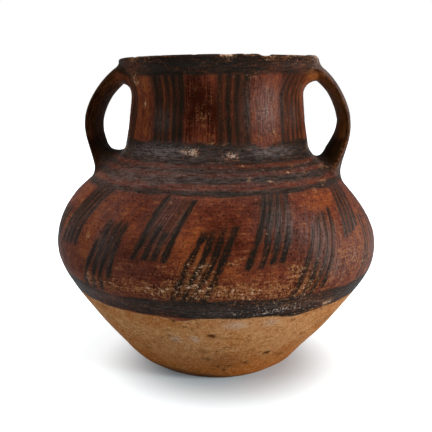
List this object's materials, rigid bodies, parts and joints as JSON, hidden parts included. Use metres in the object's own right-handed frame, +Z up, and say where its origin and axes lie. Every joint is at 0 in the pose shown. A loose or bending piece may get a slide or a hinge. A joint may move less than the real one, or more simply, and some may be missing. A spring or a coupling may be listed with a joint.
{
  "type": "two-handled earthenware jar",
  "caption": "Free-standing painted earthenware jar with a wide belly, short neck, flared lip and strap handles from lip to shoulder, for flowers or display.",
  "frame": {"origin": "on the table, under the middle of the base", "axes": "+Z up; the handles lie along X, with the left one turned 10 degrees towards the back; -Y is the side seen first"},
  "size_m": [0.2084, 0.2084, 0.2],
  "materials": {
    "bare_clay": "bare buff-orange clay, scraped and lightly pitted",
    "red_slip": "burnished red-brown slip painted with brown-black bands and strokes, worn",
    "dark_slip": "burnished brown-black slip, worn at the edges"
  },
  "bodies": {
    "root": {"base_disc": "bare_clay", "lower_wall": "bare_clay", "belly_wall": "red_slip", "shoulder_wall": "red_slip", "neck_collar": "red_slip", "rim_coil": "dark_slip", "right_handle_strap": "dark_slip", "right_handle_upper_root": "dark_slip", "right_handle_lower_root": "dark_slip", "left_handle_strap": "dark_slip", "left_handle_upper_root": "dark_slip", "left_handle_lower_root": "dark_slip"}
  },
  "joints": []
}
